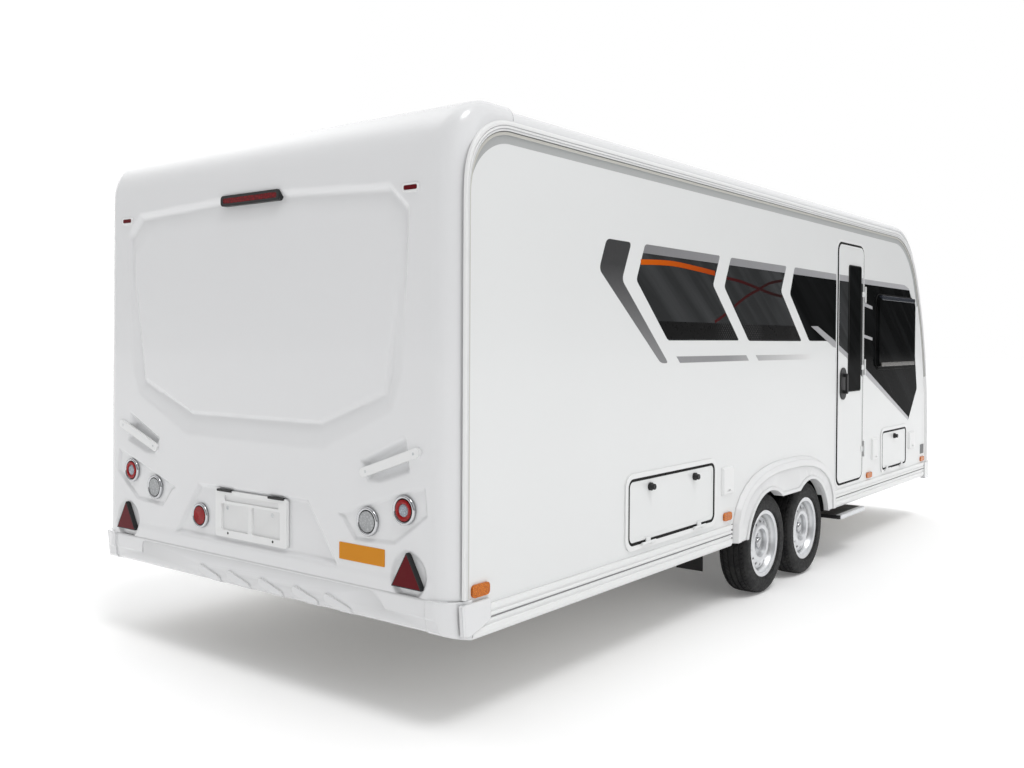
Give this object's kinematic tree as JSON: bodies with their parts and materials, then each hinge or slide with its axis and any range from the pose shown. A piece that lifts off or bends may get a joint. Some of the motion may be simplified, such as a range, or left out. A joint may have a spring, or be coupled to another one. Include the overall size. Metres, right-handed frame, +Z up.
{
  "type": "travel caravan",
  "caption": "White twin-axle travel caravan with moulded ends, a side entrance door, outside locker doors, steel chassis, overrun coupling and jockey wheel.",
  "frame": {"origin": "on the ground, on the centre plane, midway between the two axles", "axes": "+X forward to the coupling, +Y to the caravan's left, +Z up; the entrance door faces -Y"},
  "size_m": [7.866, 2.577, 2.608],
  "materials": {
    "body_white": "gloss",
    "moulding_white": "gloss",
    "trim_white": "satin",
    "window_black": "gloss",
    "glass": "clear",
    "chassis_steel": "matt",
    "rim_silver": "satin",
    "tyre": "matt",
    "black_plastic": "matt",
    "lamp_chrome": "polished",
    "lens_clear": "clear",
    "lens_red": "gloss",
    "lens_orange": "gloss",
    "wood": "satin",
    "interior_board": "matt",
    "cast_black": "matt"
  },
  "bodies": {
    "caravan": {"arch_trims": "moulding_white", "axle_front": "chassis_steel", "axle_rear": "chassis_steel", "brake_light": "lens_red", "chassis_cross_members": "chassis_steel", "chassis_rail_left": "chassis_steel", "chassis_rail_right": "chassis_steel", "corner_steadies": "chassis_steel", "coupling_head": "cast_black", "door_hinges": "chassis_steel", "edge_rails": "trim_white", "floor_panel": "interior_board", "front_panel": "moulding_white", "front_skirt": "moulding_white", "front_window": "window_black", "furniture": "wood", "gas_locker_bulkhead": "interior_board", "grab_handles": "moulding_white", "handbrake_lever": "cast_black", "jockey_tube": "cast_black", "lamp_housings": "lamp_chrome", "lamp_lenses": "lens_clear", "lid_hinges": "chassis_steel", "locker_frames": "moulding_white", "overrun_device": "cast_black", "plate_holder": "moulding_white", "rear_bumper": "moulding_white", "rear_panel": "moulding_white", "reflectors": "lens_red", "roof_lights": "moulding_white", "roof_panel": "body_white", "service_covers": "moulding_white", "side_markers": "lens_orange", "side_wall_left": "body_white", "side_wall_right": "body_white", "side_windows": "window_black", "sills": "trim_white", "step_guides": "chassis_steel", "wheel_boxes": "black_plastic"},
    "wheel_rear_left": {"tyre_rear_left": "tyre", "rim_rear_left": "rim_silver"},
    "wheel_rear_right": {"tyre_rear_right": "tyre", "rim_rear_right": "rim_silver"},
    "wheel_front_left": {"tyre_front_left": "tyre", "rim_front_left": "rim_silver"},
    "wheel_front_right": {"tyre_front_right": "tyre", "rim_front_right": "rim_silver"},
    "entrance_door": {"entrance_door": "body_white", "door_pane": "glass", "door_handle": "black_plastic"},
    "rear_locker_door": {"locker_door_rear": "body_white"},
    "front_locker_door": {"locker_door_front": "body_white"},
    "service_door": {"service_door_left": "body_white"},
    "gas_locker_lid": {"gas_locker_lid": "moulding_white"},
    "entry_step": {"entry_step": "black_plastic"},
    "jockey_fork": {"jockey_fork": "cast_black"},
    "jockey_wheel": {"jockey_wheel": "tyre"}
  },
  "joints": [
    {"name": "wheel_rear_left_spin", "type": "hinge", "parent": "caravan", "child": "wheel_rear_left", "pos_m": [-0.333, 1.1575, 0.311], "axis": [0, 1, 0], "continuous": true},
    {"name": "wheel_rear_right_spin", "type": "hinge", "parent": "caravan", "child": "wheel_rear_right", "pos_m": [-0.333, -1.1575, 0.311], "axis": [0, 1, 0], "continuous": true},
    {"name": "wheel_front_left_spin", "type": "hinge", "parent": "caravan", "child": "wheel_front_left", "pos_m": [0.333, 1.1575, 0.311], "axis": [0, 1, 0], "continuous": true},
    {"name": "wheel_front_right_spin", "type": "hinge", "parent": "caravan", "child": "wheel_front_right", "pos_m": [0.333, -1.1575, 0.311], "axis": [0, 1, 0], "continuous": true},
    {"name": "entrance_door_hinge", "type": "hinge", "parent": "caravan", "child": "entrance_door", "pos_m": [1.457, -1.264, 1.4], "axis": [0, 0, 1], "range_deg": [0, 120]},
    {"name": "rear_locker_hinge", "type": "hinge", "parent": "caravan", "child": "rear_locker_door", "pos_m": [-1.543, -1.2641, 0.556], "axis": [1, 0, 0], "range_deg": [0, 110]},
    {"name": "front_locker_hinge", "type": "hinge", "parent": "caravan", "child": "front_locker_door", "pos_m": [2.2375, -1.2641, 0.546], "axis": [1, 0, 0], "range_deg": [0, 110]},
    {"name": "service_door_hinge", "type": "hinge", "parent": "caravan", "child": "service_door", "pos_m": [-2.4, 1.2641, 0.626], "axis": [-1, 0, 0], "range_deg": [0, 110]},
    {"name": "gas_locker_hinge", "type": "hinge", "parent": "caravan", "child": "gas_locker_lid", "pos_m": [3.28404, 0, 1.122], "axis": [0, -1, 0], "range_deg": [0, 85]},
    {"name": "entry_step_slide", "type": "slide", "parent": "caravan", "child": "entry_step", "axis": [0, 1, 0], "range_m": [0, 0.25]},
    {"name": "jockey_swivel", "type": "hinge", "parent": "caravan", "child": "jockey_fork", "pos_m": [4.09, 0.15249, 0.2], "axis": [0, 0, 1], "continuous": true},
    {"name": "jockey_wheel_spin", "type": "hinge", "parent": "jockey_fork", "child": "jockey_wheel", "pos_m": [4.06, 0.15249, 0.1], "axis": [0, 1, 0], "continuous": true}
  ]
}
